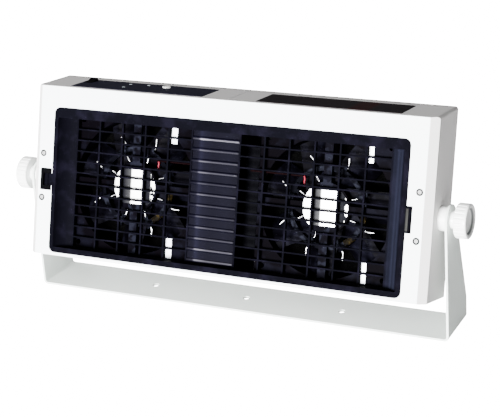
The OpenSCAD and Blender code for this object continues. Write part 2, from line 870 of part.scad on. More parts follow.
module hinge_lug() {
    translate([0, 0, fan_z - knuckle_h / 2]) {
        translate([hinge_x, hinge_depth, 0]) cylinder(h = knuckle_h, r = knuckle_r);
        translate([hinge_x, hinge_depth - knuckle_r / 2, 0])
            cube([-grille_edge - hinge_x + cut, knuckle_r, knuckle_h]);
    }
}

module hinge_yoke() {
    slot_h = knuckle_h + 2 * knuckle_gap;
    color([0.05, 0.05, 0.05]) in_housing() difference() {
        slab(yoke_face, yoke_face + yoke_thick) translate([yoke_x, fan_z])
            rounded_square(yoke_w, yoke_h, yoke_corner_r);
        slab(yoke_face - cut, yoke_face + yoke_thick + cut)
            translate([hinge_x - knuckle_r - knuckle_gap, fan_z - slot_h / 2])
                square([yoke_w, slot_h]);
        translate([hinge_x, hinge_depth, fan_z - hinge_pin_len / 2])
            cylinder(h = hinge_pin_len, r = hinge_pin_r);
    }
}

module hinge_pin() {
    color("silver") in_housing() translate([hinge_x, hinge_depth, fan_z - hinge_pin_len / 2])
        cylinder(h = hinge_pin_len, r = hinge_pin_r);
}

module grille_catch() {
    color([0.13, 0.13, 0.2]) in_housing() slab(-grille_proud - catch_proud, plate_t)
        translate([grille_edge, fan_z - catch_h / 2 + catch_w / 2]) {
            square([catch_w, catch_h - catch_w / 2]);
            translate([catch_w / 2, 0]) circle(catch_w / 2);
        }
}

module centre_louvre() {
    width = blank_to - blank_from - rib_t;
    color([0.12, 0.13, 0.25]) in_housing() intersection() {
        union() {
            translate([blank_from + rib_t / 2, grid_recess + ridge_r / 2, open_low + bar_t / 2])
                cube([width, ridge_r, open_h - bar_t]);
            for (j = [0:grid_rows - 1])
                translate([blank_from + rib_t / 2, grid_recess + ridge_sink, 0])
                    translate([0, 0, open_low + (j + 0.25) * row_pitch])
                        rotate([0, 90, 0]) cylinder(h = width, r = ridge_r);
        }
        translate([blank_from, -cut, open_low + bar_t / 2])
            cube([width + rib_t, housing_d, open_h - bar_t]);
    }
}

// ---------------------------------------------------------------- fans

module fan_frame() {
    difference() {
        union() {
            for (z = [0, fan_t - flange_t]) translate([0, 0, z]) linear_extrude(flange_t)
                rounded_square(fan_size, fan_size, fan_corner_r);
            cylinder(h = fan_t, r = duct_r + duct_wall, $fn = fine);
        }
        translate([0, 0, -cut]) cylinder(h = fan_t + 2 * cut, r = duct_r, $fn = fine);
        translate([0, 0, -cut]) linear_extrude(fan_t + 2 * cut) fan_corners() circle(fan_hole_r);
    }
    difference() {
        union() {
            translate([0, 0, base_back]) cylinder(h = strut_t, r = motor_r);
            for (i = [0:strut_count - 1]) rotate(90 + i * 360 / strut_count)
                translate([motor_r - 2 * cut, -strut_w / 2, base_back])
                    cube([duct_r - motor_r + 3 * cut, strut_w, strut_t]);
            translate([0, 0, tube_low])
                cylinder(h = base_back - tube_low + cut, r = bearing_r + tube_wall);
        }
        translate([0, 0, tube_low - cut]) cylinder(h = base_back - tube_low + cut, r = bearing_r);
    }
}

module left_fan_frame() {
    color([0.12, 0.12, 0.13]) on_fan(left) fan_frame();
}

module right_fan_frame() {
    color([0.12, 0.12, 0.13]) on_fan(right) fan_frame();
}

// One blade: a curved sheet across the duct, cut to a swept outline between hub and tip.
module blade() {
    height = rotor_high - rotor_low;
    arc_floor = 0.8;
    arc_rise = 2.5;
    cut_r = blade_chord + 2;
    intersection() {
        rotate([90, 0, 90]) linear_extrude(duct_r) translate([0, rotor_low + height / 2])
            rotate(blade_angle) translate([0, arc_rise - blade_arc_r]) difference() {
                circle(blade_arc_r, $fn = fine);
                circle(blade_arc_r - blade_t, $fn = fine);
                translate([-2 * blade_arc_r, -2 * blade_arc_r])
                    square([4 * blade_arc_r, (2 + arc_floor) * blade_arc_r]);
            }
        translate([0, 0, rotor_low + 0.5]) linear_extrude(height - 1) difference() {
            intersection() {
                circle(blade_reach, $fn = fine);
                translate([0, -blade_chord]) square([duct_r, 2 * blade_chord]);
            }
            circle(rotor_r - hub_wall / 2);
            translate([rotor_r + blade_root_cut, -blade_chord - 20]) circle(cut_r);
        }
    }
}

module rotor() {
    difference() {
        union() {
            translate([0, 0, rotor_low]) cylinder(h = rotor_high - rotor_low, r = rotor_r);
            for (i = [0:blade_count - 1]) rotate(i * 360 / blade_count) blade();
        }
        translate([0, 0, rotor_low + 2]) cylinder(h = fan_t, r = rotor_r - hub_wall - magnet_t);
        translate([0, 0, -cut]) cylinder(h = fan_t, r = shaft_r);
    }
}

module left_rotor() {
    color([0.1, 0.1, 0.1]) on_fan(left) rotor();
}

module right_rotor() {
    color([0.1, 0.1, 0.1]) on_fan(right) rotor();
}

module rotor_shaft() {
    translate([0, 0, rotor_low]) cylinder(h = base_back - rotor_low - 0.5, r = shaft_r);
}

module left_shaft() {
    color("silver") on_fan(left) rotor_shaft();
}

module right_shaft() {
    color("silver") on_fan(right) rotor_shaft();
}

module bearings() {
    for (z = [tube_low, base_back - bearing_w - 0.6]) translate([0, 0, z])
        tube(bearing_r, shaft_r + shaft_play, bearing_w);
}

module left_bearings() {
    color("silver") on_fan(left) bearings();
}

module right_bearings() {
    color("silver") on_fan(right) bearings();
}

// Wound core: four arms with curved pole shoes round the bearing tube.
module stator() {
    low = tube_low + 1;
    translate([0, 0, low]) linear_extrude(base_back - low) difference() {
        union() {
            circle(bearing_r + tube_wall + 2);
            for (a = [0, 90]) rotate(a) square([2 * stator_r - 2, 4], center = true);
            difference() {
                circle(stator_r);
                circle(stator_r - 2);
                for (a = [45, 135]) rotate(a) square([3 * stator_r, 3], center = true);
            }
        }
        circle(bearing_r + tube_wall + part_gap);
    }
}

module left_stator() {
    color([0.7, 0.4, 0.2]) on_fan(left) stator();
}

module right_stator() {
    color([0.7, 0.4, 0.2]) on_fan(right) stator();
}

module hub_label() {
    translate([0, 0, fan_t]) linear_extrude(label_t) intersection() {
        circle(label_r, $fn = fine);
        square([2 * label_r, label_h], center = true);
    }
}

module left_hub_label() {
    color("silver") on_fan(left) hub_label();
}

module right_hub_label() {
    color("silver") on_fan(right) hub_label();
}

// ---------------------------------------------------------------- emitters

module emitter_ring() {
    inner = emitter_ring_r - emitter_ring_w / 2;
    outer = emitter_ring_r + emitter_ring_w / 2;
    translate([0, 0, base_back - ring_t]) difference() {
        union() {
            tube(outer, inner, ring_t);
            at_needles() translate([inner - lug_len, -lug_w / 2, 0])
                cube([outer - inner + 2 * lug_len, lug_w, ring_t]);
        }
        at_needles() translate([inner - lug_len - cut, 0, ring_t / 2]) rotate([0, 90, 0])
            cylinder(h = outer - inner + 2 * (lug_len + cut), r = needle_r + part_gap);
    }
}

module at_needles() {
    for (i = [0:needle_count - 1]) rotate((i + 0.5) * 360 / needle_count) children();
}

module left_emitter_ring() {
    color([0.85, 0.85, 0.82]) on_fan(left) emitter_ring();
}

module right_emitter_ring() {
    color([0.85, 0.85, 0.82]) on_fan(right) emitter_ring();
}

// Needles through the lugs of a ring, their points towards the axis of the fan.
module needles() {
    cone = needle_len * 0.2;
    at_needles() translate([emitter_ring_r - needle_reach, 0, base_back - ring_t / 2])
        rotate([0, 90, 0]) {
            cylinder(h = cone, r1 = needle_point_r, r2 = needle_r);
            translate([0, 0, cone]) cylinder(h = needle_len - cone, r = needle_r);
        }
}

module left_needles() {
    color("silver") on_fan(left) needles();
}

module right_needles() {
    color("silver") on_fan(right) needles();
}

module fan_clips() {
    color("silver") for (side = [left, right], up = [-1, 1]) on_fan(side)
        translate([clip_x, up * (fan_size / 2 - clip_len / 2), fan_t]) linear_extrude(clip_t)
            square([clip_w, clip_len], center = true);
}

module high_voltage_module() {
    color([0.15, 0.15, 0.2]) in_housing() difference() {
        translate([-module_w / 2, rear_face - module_t, fan_z - module_h / 2])
            cube([module_w, module_t, module_h]);
        for (z = [-1, 1])
            translate([0, rear_face - module_t - cut, fan_z + z * (module_h / 2 - module_eye_inset)])
                rotate([-90, 0, 0]) cylinder(h = module_eye_r + cut, r = module_eye_r);
    }
}

// High-voltage lead: forward from the module, across the fan frame, and back to the emitter ring.
module lead(side) {
    over = fan_t + lead_r + part_gap;
    near_x = -side * (fan_pitch / 2 - module_w / 2 + 2 * lead_r);
    far_x = -side * sqrt(pow(emitter_ring_r, 2) - pow(lead_y, 2));
    module_front = fan_back - rear_face + module_t;
    translate([near_x, lead_y, module_front]) cylinder(h = over - module_front, r = lead_r);
    translate([min(near_x, far_x), lead_y, over]) rotate([0, 90, 0])
        cylinder(h = abs(near_x - far_x), r = lead_r);
    translate([far_x, lead_y, base_back]) cylinder(h = over - base_back, r = lead_r);
    for (x = [near_x, far_x]) translate([x, lead_y, over]) sphere(lead_r);
}

module left_lead() {
    color("firebrick") on_fan(left) lead(left);
}

module right_lead() {
    color("firebrick") on_fan(right) lead(right);
}

// ---------------------------------------------------------------- pivots and knobs

module spacer(side) {
    on_pivot(side) translate([0, 0, half_w]) tube(spacer_r, stud_hole_r, spacer_len);
}

module left_spacer() {
    color("white") spacer(left);
}

module right_spacer() {
    color("white") spacer(right);
}

module insert(side) {
    on_pivot(side) {
        translate([0, 0, inner_x - insert_flange_t]) tube(insert_flange_r, stud_hole_r, insert_flange_t);
        translate([0, 0, inner_x - insert_len])
            tube(stud_r + insert_wall, stud_hole_r, insert_len - insert_flange_t + part_gap);
    }
}

module left_insert() {
    color("goldenrod") insert(left);
}

module right_insert() {
    color("goldenrod") insert(right);
}

knob_from = arm_out + side_play;
knob_end = knob_from + knob_neck_len + knob_len;
stud_end = knob_end - knob_dish - 2;

module stud(side) {
    on_pivot(side) translate([0, 0, half_w - stud_reach])
        cylinder(h = stud_end - half_w + stud_reach, r = stud_r);
}

module left_stud() {
    color("silver") stud(left);
}

module right_stud() {
    color("silver") stud(right);
}

// Turned knob with a round-bottomed grip groove at each place and a conical dish in its face.
module knob(side) {
    groove_r = 1.2;
    top = knob_neck_len + knob_len;
    on_pivot(side) translate([0, 0, knob_from]) difference() {
        union() {
            cylinder(h = knob_neck_len + 1, r = knob_neck_r);
            translate([0, 0, knob_neck_len]) rotate_extrude($fn = fine) polygon([
                [0, 0], [knob_r - knob_chamfer, 0], [knob_r, knob_chamfer],
                [knob_r, knob_len - knob_chamfer], [knob_r - knob_chamfer, knob_len], [0, knob_len]
            ]);
        }
        translate([0, 0, -cut]) cylinder(h = stud_end - knob_from + cut, r = stud_r);
        translate([0, 0, top - knob_dish]) cylinder(
            h = knob_dish, r1 = knob_r - knob_rim - knob_dish_slope, r2 = knob_r - knob_rim, $fn = fine);
        translate([0, 0, top]) cylinder(h = cut, r = knob_r - knob_rim, $fn = fine);
        for (i = [0:knob_grooves - 1]) rotate(i * 360 / knob_grooves)
            translate([knob_r + groove_r - knob_groove_depth, 0, knob_neck_len - cut])
                cylinder(h = knob_len - 1, r = groove_r);
    }
}

module left_knob() {
    color("whitesmoke") knob(left);
}

module right_knob() {
    color("whitesmoke") knob(right);
}

stand_bracket();
left_case_half();
right_case_half();
front_panel();
rear_cover();
left_intake_guard();
right_intake_guard();
left_filter();
right_filter();
control_panel();
name_plate();
power_rocker();
rocker_housing();
push_button();
button_switch();
indicator_lights();
control_board();
grille();
centre_louvre();
grille_catch();
hinge_yoke();
hinge_pin();
left_fan_frame();
right_fan_frame();
left_rotor();
right_rotor();
left_shaft();
right_shaft();
left_bearings();
right_bearings();
left_stator();
right_stator();
left_hub_label();
right_hub_label();
left_emitter_ring();
right_emitter_ring();
left_needles();
right_needles();
fan_clips();
high_voltage_module();
left_lead();
right_lead();
power_inlet();
left_spacer();
right_spacer();
left_insert();
right_insert();
left_stud();
right_stud();
left_knob();
right_knob();
front_screws();
rear_screws();
fan_screws();
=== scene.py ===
import json
import math

import bmesh
import bpy
from mathutils import Matrix, Vector


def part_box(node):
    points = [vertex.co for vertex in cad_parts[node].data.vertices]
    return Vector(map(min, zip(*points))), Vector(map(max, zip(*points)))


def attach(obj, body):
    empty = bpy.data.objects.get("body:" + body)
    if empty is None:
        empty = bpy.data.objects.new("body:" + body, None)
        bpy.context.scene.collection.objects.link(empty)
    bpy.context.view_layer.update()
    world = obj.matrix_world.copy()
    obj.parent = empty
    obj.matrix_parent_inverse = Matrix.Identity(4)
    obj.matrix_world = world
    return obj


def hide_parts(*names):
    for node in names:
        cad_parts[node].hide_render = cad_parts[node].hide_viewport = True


MM = 0.001

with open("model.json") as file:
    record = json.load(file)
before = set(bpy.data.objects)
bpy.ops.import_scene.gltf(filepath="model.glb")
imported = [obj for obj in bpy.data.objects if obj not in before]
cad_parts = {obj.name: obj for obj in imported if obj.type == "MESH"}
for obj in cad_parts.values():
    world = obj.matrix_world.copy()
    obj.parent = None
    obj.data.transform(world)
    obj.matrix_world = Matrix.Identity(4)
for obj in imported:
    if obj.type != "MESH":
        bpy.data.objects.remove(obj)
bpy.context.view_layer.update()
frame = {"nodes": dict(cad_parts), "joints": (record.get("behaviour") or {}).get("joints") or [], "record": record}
nodes = frame["nodes"]
bodies = frame["record"]["behaviour"]["bodies"]
body_of = {node: body for body, members in bodies.items() for node in members}
slot_of = {part["node"]: part["material_slot"] for part in frame["record"]["subparts"]}


def joint(name):
    return next(j for j in frame["joints"] if j["name"] == name)


# ---------------------------------------------------------------- places
# The housing's own axes: across, forward out of the grille, and up along its front face.
ACROSS = Vector((1, 0, 0))
FORWARD = Vector(joint("left_fan_spin")["axis"]).normalized()
UP = ACROSS.cross(FORWARD).normalized() * -1
HOUSING_MIDDLE = sum(
    (Vector(corner) for corner in (*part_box("front_panel"), *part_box("rear_cover"))), Vector()) / 4
FAN = {side: Vector(joint(f"{side}_fan_spin")["pos_m"]) for side in ("left", "right")}


def reach(node):
    """A node's lowest and highest reach along ACROSS, UP and FORWARD."""
    spots = [vertex.co for vertex in nodes[node].data.vertices]
    spans = [[spot.dot(way) for spot in spots] for way in (ACROSS, UP, FORWARD)]
    return [min(span) for span in spans], [max(span) for span in spans]


def placed(name, data):
    """A new object in the scene."""
    obj = bpy.data.objects.new(name, data)
    bpy.context.scene.collection.objects.link(obj)
    return obj


# ---------------------------------------------------------------- camera
AZIMUTH = math.radians(26.28)
ELEVATION = math.radians(21.52)
ROLL = math.radians(-3.70)
DISTANCE = 1.3169
AIM_RIGHT = 0.01307
AIM_UP = 0.08689
AIM_DEPTH = -0.024
LENS = 112.16
SENSOR = 36
NEAREST = 0.01


def camera():
    back = Vector((
        math.sin(AZIMUTH) * math.cos(ELEVATION),
        -math.cos(AZIMUTH) * math.cos(ELEVATION),
        math.sin(ELEVATION),
    ))
    level = Vector((0, 0, 1)).cross(back).normalized()
    upright = back.cross(level)
    right = level * math.cos(ROLL) + upright * math.sin(ROLL)
    up = upright * math.cos(ROLL) - level * math.sin(ROLL)
    place = back * DISTANCE + right * AIM_RIGHT + up * AIM_UP + Vector((0, AIM_DEPTH, 0))
    data = bpy.data.cameras.new("camera")
    data.lens = LENS
    data.sensor_width = SENSOR
    data.clip_start = NEAREST
    obj = placed("camera", data)
    turn = Matrix((right, up, back)).transposed().to_4x4()
    obj.matrix_world = Matrix.Translation(place) @ turn
    bpy.context.scene.camera = obj


# ---------------------------------------------------------------- materials
def new_material(name):
    mat = bpy.data.materials.new(name)
    mat.use_nodes = True
    tree = mat.node_tree
    shader = tree.nodes["Principled BSDF"]
    return mat, tree, shader


def patterned(name):
    """A new material, with the coordinates of the piece for its patterns."""
    mat, tree, shader = new_material(name)
    return mat, tree, shader, tree.nodes.new("ShaderNodeTexCoord").outputs["Object"]


def noise(tree, coords, scale, detail=2.0, stretch=None):
    source = coords
    if stretch:
        mapping = tree.nodes.new("ShaderNodeMapping")
        mapping.inputs["Scale"].default_value = stretch
        tree.links.new(coords, mapping.inputs["Vector"])
        source = mapping.outputs["Vector"]
    node = tree.nodes.new("ShaderNodeTexNoise")
    node.inputs["Scale"].default_value = scale
    node.inputs["Detail"].default_value = detail
    tree.links.new(source, node.inputs["Vector"])
    return node.outputs["Fac"]


def mixed(tree, factor, low, high):
    node = tree.nodes.new("ShaderNodeMix")
    node.data_type = "RGBA"
    node.inputs["A"].default_value = (*low, 1)
    node.inputs["B"].default_value = (*high, 1)
    tree.links.new(factor, node.inputs["Factor"])
    return node.outputs["Result"]


def ranged(tree, factor, low, high):
    node = tree.nodes.new("ShaderNodeMapRange")
    node.inputs["To Min"].default_value = low
    node.inputs["To Max"].default_value = high
    tree.links.new(factor, node.inputs["Value"])
    return node.outputs["Result"]


def bump(tree, shader, height, strength, depth):
    node = tree.nodes.new("ShaderNodeBump")
    node.inputs["Strength"].default_value = strength
    node.inputs["Distance"].default_value = depth
    tree.links.new(height, node.inputs["Height"])
    tree.links.new(node.outputs["Normal"], shader.inputs["Normal"])


def along(tree, coords, direction):
    """How far a point lies along a direction, in metres."""
    node = tree.nodes.new("ShaderNodeVectorMath")
    node.operation = "DOT_PRODUCT"
    node.inputs[1].default_value = direction
    tree.links.new(coords, node.inputs[0])
    return node.outputs["Value"]


def sums(tree, operation, *terms):
    """One Math node; a term is a number or the output of another node."""
    node = tree.nodes.new("ShaderNodeMath")
    node.operation = operation
    for place, term in enumerate(terms):
        if isinstance(term, (int, float)):
            node.inputs[place].default_value = term
        else:
            tree.links.new(term, node.inputs[place])
    return node.outputs["Value"]


def stepped(tree, factor, stops, blend="LINEAR"):
    """A grey ramp: (place, brightness) pairs from 0 to 1."""
    node = tree.nodes.new("ShaderNodeValToRGB")
    node.color_ramp.interpolation = blend
    elements = node.color_ramp.elements
    while len(elements) < len(stops):
        elements.new(0.5)
    for element, (place, value) in zip(elements, stops):
        element.position = place
        element.color = (value, value, value, 1)
    tree.links.new(factor, node.inputs["Fac"])
    return node.outputs["Color"]


def share_across(tree, coords, node):
    """0 at the left end of a node and 1 at its right end."""
    low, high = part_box(node)
    from_low = sums(tree, "SUBTRACT", along(tree, coords, ACROSS), low[0])
    return sums(tree, "DIVIDE", from_low, high[0] - low[0])


def painted_over(tree, shader, plain, colour, where):
    """The base colour: a plain one, with another painted over it where a factor is above 0."""
    node = tree.nodes.new("ShaderNodeMix")
    node.data_type = "RGBA"
    node.inputs["B"].default_value = (*colour, 1)
    tree.links.new(where, node.inputs["Factor"])
    tree.links.new(plain, node.inputs["A"])
    tree.links.new(node.outputs["Result"], shader.inputs["Base Color"])


# Scales of the patterns, in cells per metre or so, and the heights of the grain, in metres.
FINE_GRAIN = 900
SLOW_PATCHES = 18
LOW_RELIEF = 0.00004


def surface(name, colour, rough, grain=FINE_GRAIN, relief=LOW_RELIEF, tint=0.04, metal=0.0, coat=0.0,
            patch=SLOW_PATCHES, stretch=None, gloss=0.5):
    """A finish with slow colour variation, uneven roughness and a fine grain."""
    mat, tree, shader, coords = patterned(name)
    slow = noise(tree, coords, patch, 3.0)
    dark = [c * (1 - tint) for c in colour]
    light = [min(1.0, c * (1 + tint)) for c in colour]
    tree.links.new(mixed(tree, slow, dark, light), shader.inputs["Base Color"])
    fine = noise(tree, coords, grain, 3.0, stretch)
    tree.links.new(ranged(tree, slow, rough * 0.9, min(1.0, rough * 1.12)), shader.inputs["Roughness"])
    bump(tree, shader, fine, 0.6, relief)
    shader.inputs["Metallic"].default_value = metal
    shader.inputs["Coat Weight"].default_value = coat
    shader.inputs["Specular IOR Level"].default_value = gloss
    return mat


# Scattered pale patches of painted dull reflection, as a ramp over slow noise.
SCATTERED = ((0.0, 0.0), (0.5, 0.05), (0.62, 1.0), (1.0, 1.0))


def mottled(name, colour, light, patch, gloss=0.003):
    """A dark moulding with scattered paler patches, as dull reflections leave on it."""
    mat, tree, shader, coords = patterned(name)
    spots = stepped(tree, noise(tree, coords, patch, 2.0), SCATTERED)
    tree.links.new(mixed(tree, spots, colour, light), shader.inputs["Base Color"])
    tree.links.new(ranged(tree, spots, 0.45, 0.45 * 0.85), shader.inputs["Roughness"])
    shader.inputs["Specular IOR Level"].default_value = gloss
    bump(tree, shader, noise(tree, coords, FINE_GRAIN, 2.0), 0.5, LOW_RELIEF)
    return mat


STRUT_HALF = 5.5 * MM
STRUT_HIGHLIGHTS = ((0.0, 0.0), (0.46, 0.1), (0.56, 1.0), (1.0, 1.0))


def fan_moulding(name):
    """The fan frames' dark moulding with paler patches of painted dull reflection, and bluish patches of painted
    highlight down the strut behind each hub.
    """
    mat, tree, shader, coords = patterned(name)
    spots = stepped(tree, noise(tree, coords, 60, 2.0), SCATTERED)
    plain = mixed(tree, spots, (0.0006, 0.0004, 0.0008), (0.0016, 0.0015, 0.0030))
    from_middle = sums(tree, "ABSOLUTE", along(tree, coords, ACROSS))
    from_axis = sums(tree, "ABSOLUTE", sums(tree, "SUBTRACT", from_middle, abs(FAN["right"].x)))
    # Painted highlights: bluish patches down the strut behind each hub.
    on_strut = sums(tree, "LESS_THAN", from_axis, STRUT_HALF)
    strut_highlight = stepped(tree, noise(tree, coords, 170, 1.0), STRUT_HIGHLIGHTS)
    where = sums(tree, "MULTIPLY", on_strut, strut_highlight)
    painted_over(tree, shader, plain, (0.0042, 0.0044, 0.0074), where)
    tree.links.new(ranged(tree, spots, 0.45, 0.38), shader.inputs["Roughness"])
    shader.inputs["Specular IOR Level"].default_value = 0.003
    bump(tree, shader, noise(tree, coords, FINE_GRAIN, 2.0), 0.5, LOW_RELIEF)
    return mat


def foam(name, colour):
    """Near-black foam, as rough cells."""
    mat, tree, shader, coords = patterned(name)
    cells = tree.nodes.new("ShaderNodeTexVoronoi")
    cells.inputs["Scale"].default_value = 700
    tree.links.new(coords, cells.inputs["Vector"])
    dark = [c * 0.2 for c in colour]
    tree.links.new(mixed(tree, cells.outputs["Distance"], dark, colour), shader.inputs["Base Color"])
    shader.inputs["Roughness"].default_value = 0.95
    shader.inputs["Specular IOR Level"].default_value = 0.005
    bump(tree, shader, cells.outputs["Distance"], 1.0, 0.0008)
    return mat


# Painted reflection bands across the hub labels, from left to right: bright foil, dark gaps and a grey fade.
LABEL_REFLECTION_BANDS = {
    "left": ((0.0, 0.3), (0.04, 0.9), (0.14, 0.9), (0.16, 0.001), (0.25, 0.002), (0.28, 0.006), (0.40, 0.02),
             (0.43, 0.9), (0.66, 0.95), (0.69, 0.001), (0.88, 0.0015), (0.91, 0.9), (1.0, 0.9)),
    "right": ((0.0, 0.3), (0.03, 0.9), (0.20, 0.9), (0.22, 0.004), (0.26, 0.006), (0.38, 0.035), (0.41, 0.9),
              (0.73, 0.95), (0.76, 0.0015), (0.92, 0.0015), (0.94, 0.9), (1.0, 0.9)),
}


def foil(name, side):
    """Blank silver foil with painted reflections: bright bands with dark ones between, and a ragged patch at its
    right end.
    """
    mat, tree, shader, coords = patterned(name)
    across = share_across(tree, coords, f"{side}_hub_label")
    reflection_band = stepped(tree, across, LABEL_REFLECTION_BANDS[side])
    ragged = stepped(tree, noise(tree, coords, 260, 1.0), [(0.0, 0.0), (0.44, 0.0), (0.48, 1.0), (1.0, 1.0)])
    at_end = stepped(tree, across, [(0.0, 0.0), (0.87, 0.0), (0.9, 1.0), (1.0, 1.0)])
    kept = sums(tree, "SUBTRACT", 1.0, sums(tree, "MULTIPLY", at_end, sums(tree, "SUBTRACT", 1.0, ragged)))
    level = sums(tree, "MULTIPLY", reflection_band, kept)
    # The label's colour: white where the painted reflection is bright, near black between.
    colour = mixed(tree, level, (0.0012, 0.0012, 0.0026), (1.0, 1.0, 1.0))
    tree.links.new(colour, shader.inputs["Base Color"])
    tree.links.new(level, shader.inputs["Metallic"])
    tree.links.new(ranged(tree, noise(tree, coords, 400, 2.0), 0.45, 0.6), shader.inputs["Roughness"])
    shader.inputs["Specular IOR Level"].default_value = 0.02
    bump(tree, shader, noise(tree, coords, 1500, 2.0, (1, 20, 1)), 0.3, 0.00002)
    return mat


# How bright the painted highlight line on each of the louvre's ridges is, from the bottom ridge up.
RIDGE_HIGHLIGHT_STRENGTH = (0.55, 0.42, 0.2, 0.22, 0.14, 0.13, 0.22, 0.13, 0.30, 0.26, 0.26, 1.0)
# Where the painted highlight line lies on a ridge, and how that line and the painted sheen under it fade from left
# to right.
RIDGE_LINE = ((0.0, 0.0), (0.13, 0.0), (0.19, 1.0), (0.27, 1.0), (0.33, 0.0), (1.0, 0.0))
LINE_FADE = ((0.0, 0.05), (0.14, 0.15), (0.18, 1.0), (0.27, 0.9), (0.42, 0.5), (0.9, 0.45), (0.97, 0.6),
             (1.0, 0.2))
SHEEN_FADE = ((0.0, 0.02), (0.12, 0.08), (0.18, 0.26), (0.26, 0.12), (0.45, 0.05), (0.8, 0.07), (1.0, 0.02))


def louvre(name):
    """Dark blue moulding with a painted highlight line along each ridge and painted sheen under it, both strongest
    near one end.
    """
    mat, tree, shader, coords = patterned(name)
    low, high = reach("centre_louvre")
    rise = sums(tree, "SUBTRACT", along(tree, coords, UP), low[1])
    share = sums(tree, "DIVIDE", rise, high[1] - low[1])
    row = sums(tree, "FRACT", sums(tree, "MULTIPLY", share, len(RIDGE_HIGHLIGHT_STRENGTH)))
    line = stepped(tree, row, RIDGE_LINE)
    ridges = [(place / len(RIDGE_HIGHLIGHT_STRENGTH), value) for place, value in enumerate(RIDGE_HIGHLIGHT_STRENGTH)]
    ridge_highlight = stepped(tree, share, ridges, "CONSTANT")
    across = share_across(tree, coords, "centre_louvre")
    fade = stepped(tree, across, LINE_FADE)
    painted_sheen = stepped(tree, across, SHEEN_FADE)
    patchy = ranged(tree, noise(tree, coords, 60, 1.0, (0.2, 1, 1)), 0.3, 1.3)
    strength = sums(
        tree, "MULTIPLY", sums(tree, "MULTIPLY", line, fade), sums(tree, "MULTIPLY", patchy, ridge_highlight))
    # The moulding's dark blue, lightened by painted sheen under the highlight lines near one end.
    plain = mixed(tree, painted_sheen, (0.0007, 0.0006, 0.0018), (0.0105, 0.0100, 0.0225))
    painted_over(tree, shader, plain, (0.14, 0.135, 0.16), strength)
    shader.inputs["Roughness"].default_value = 0.4
    shader.inputs["Specular IOR Level"].default_value = 0.01
    bump(tree, shader, noise(tree, coords, 500, 2.0), 0.4, 0.00002)
    return mat


# The painted shade ring's strength by distance from the knob's axis, and how deep it may lie behind the knob's
# end.
KNOB_SHADE_RING = ((0.0, 0.0), (0.60, 0.0), (0.66, 1.0), (0.74, 1.0), (0.80, 0.1), (0.88, 0.1), (0.94, 0.7),
             (0.97, 0.0))
KNOB_END = 2.2 * MM


def knob(name):
    """White moulding with a grey ring of painted shade round the dish in each knob's end."""
    mat, tree, shader, coords = patterned(name)
    axis = Vector(joint("right_knob_turn")["pos_m"])
    up_part = sums(tree, "SUBTRACT", along(tree, coords, UP), axis.dot(UP))
    fore_part = sums(tree, "SUBTRACT", along(tree, coords, FORWARD), axis.dot(FORWARD))
    squares = [sums(tree, "MULTIPLY", part, part) for part in (up_part, fore_part)]
    radius = sums(tree, "SQRT", sums(tree, "ADD", *squares))
    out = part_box("right_knob")[1][0]
    size = max(abs((vertex.co - axis).dot(UP)) for vertex in nodes["right_knob"].data.vertices)
    share = sums(tree, "DIVIDE", radius, size)
    ring = stepped(tree, share, KNOB_SHADE_RING)
    face = sums(tree, "GREATER_THAN", sums(tree, "ABSOLUTE", along(tree, coords, ACROSS)), out - KNOB_END)
    plain = mixed(tree, noise(tree, coords, SLOW_PATCHES, 3.0), (0.85, 0.86, 0.85), (0.88, 0.89, 0.88))
    # Grey painted shade round the dish, on the knob's end only.
    painted_over(tree, shader, plain, (0.16, 0.17, 0.17), sums(tree, "MULTIPLY", ring, face))
    shader.inputs["Roughness"].default_value = 0.3
    shader.inputs["Specular IOR Level"].default_value = 0.5
    bump(tree, shader, noise(tree, coords, FINE_GRAIN, 2.0), 0.4, 0.00003)
    return mat


# The painted highlight lines in the curve at the grille's right end, and how far behind its face they begin.
COVE_HIGHLIGHT_LINES = ((0.0, 0.0), (0.948, 0.0), (0.954, 0.45), (0.959, 0.2), (0.965, 0.9), (0.970, 0.3), (0.976, 1.0),
              (0.983, 0.0), (1.0, 0.0))
COVE_DEPTH = 1.6 * MM


def grille_moulding(name):
    """Near-black moulding, with the bluish painted highlight lines that show in the curve at its right end."""
    mat, tree, shader, coords = patterned(name)
    across = share_across(tree, coords, "grille")
    cove_highlights = stepped(tree, across, COVE_HIGHLIGHT_LINES)
    front = reach("grille")[1][2]
    sunk = sums(tree, "LESS_THAN", along(tree, coords, FORWARD), front - COVE_DEPTH)
    spots = stepped(tree, noise(tree, coords, 75, 3.0), [(0.0, 0.0), (0.5, 0.2), (0.66, 1.0), (1.0, 1.0)])
    plain = mixed(tree, spots, (0.0010, 0.0010, 0.0017), (0.0027, 0.0024, 0.0048))
    # The bluish painted highlight lines, only on the sunk curve.
    painted_over(tree, shader, plain, (0.0062, 0.0068, 0.0122), sums(tree, "MULTIPLY", cove_highlights, sunk))
    shader.inputs["Roughness"].default_value = 0.55
    shader.inputs["Specular IOR Level"].default_value = 0.002
    bump(tree, shader, noise(tree, coords, 700, 3.0), 0.6, 0.00002)
    return mat


PLATE_PATCH = ((0.0, 0.0), (0.62, 0.0), (0.66, 1.0), (0.76, 1.0), (0.79, 0.0), (1.0, 0.0))


def name_plate(name):
    """Blank near-black plate with one dark red patch."""
    mat, tree, shader, coords = patterned(name)
    across = share_across(tree, coords, "name_plate")
    patch = stepped(tree, across, PLATE_PATCH)
    slow = noise(tree, coords, 60, 2.0)
    plain = mixed(tree, slow, (0.009, 0.007, 0.009), (0.014, 0.011, 0.013))
    painted_over(tree, shader, plain, (0.020, 0.006, 0.007), patch)
    tree.links.new(ranged(tree, slow, 0.42, 0.55), shader.inputs["Roughness"])
    shader.inputs["Specular IOR Level"].default_value = 0.01
    bump(tree, shader, noise(tree, coords, 3000, 3.0), 0.5, 0.00003)
    return mat


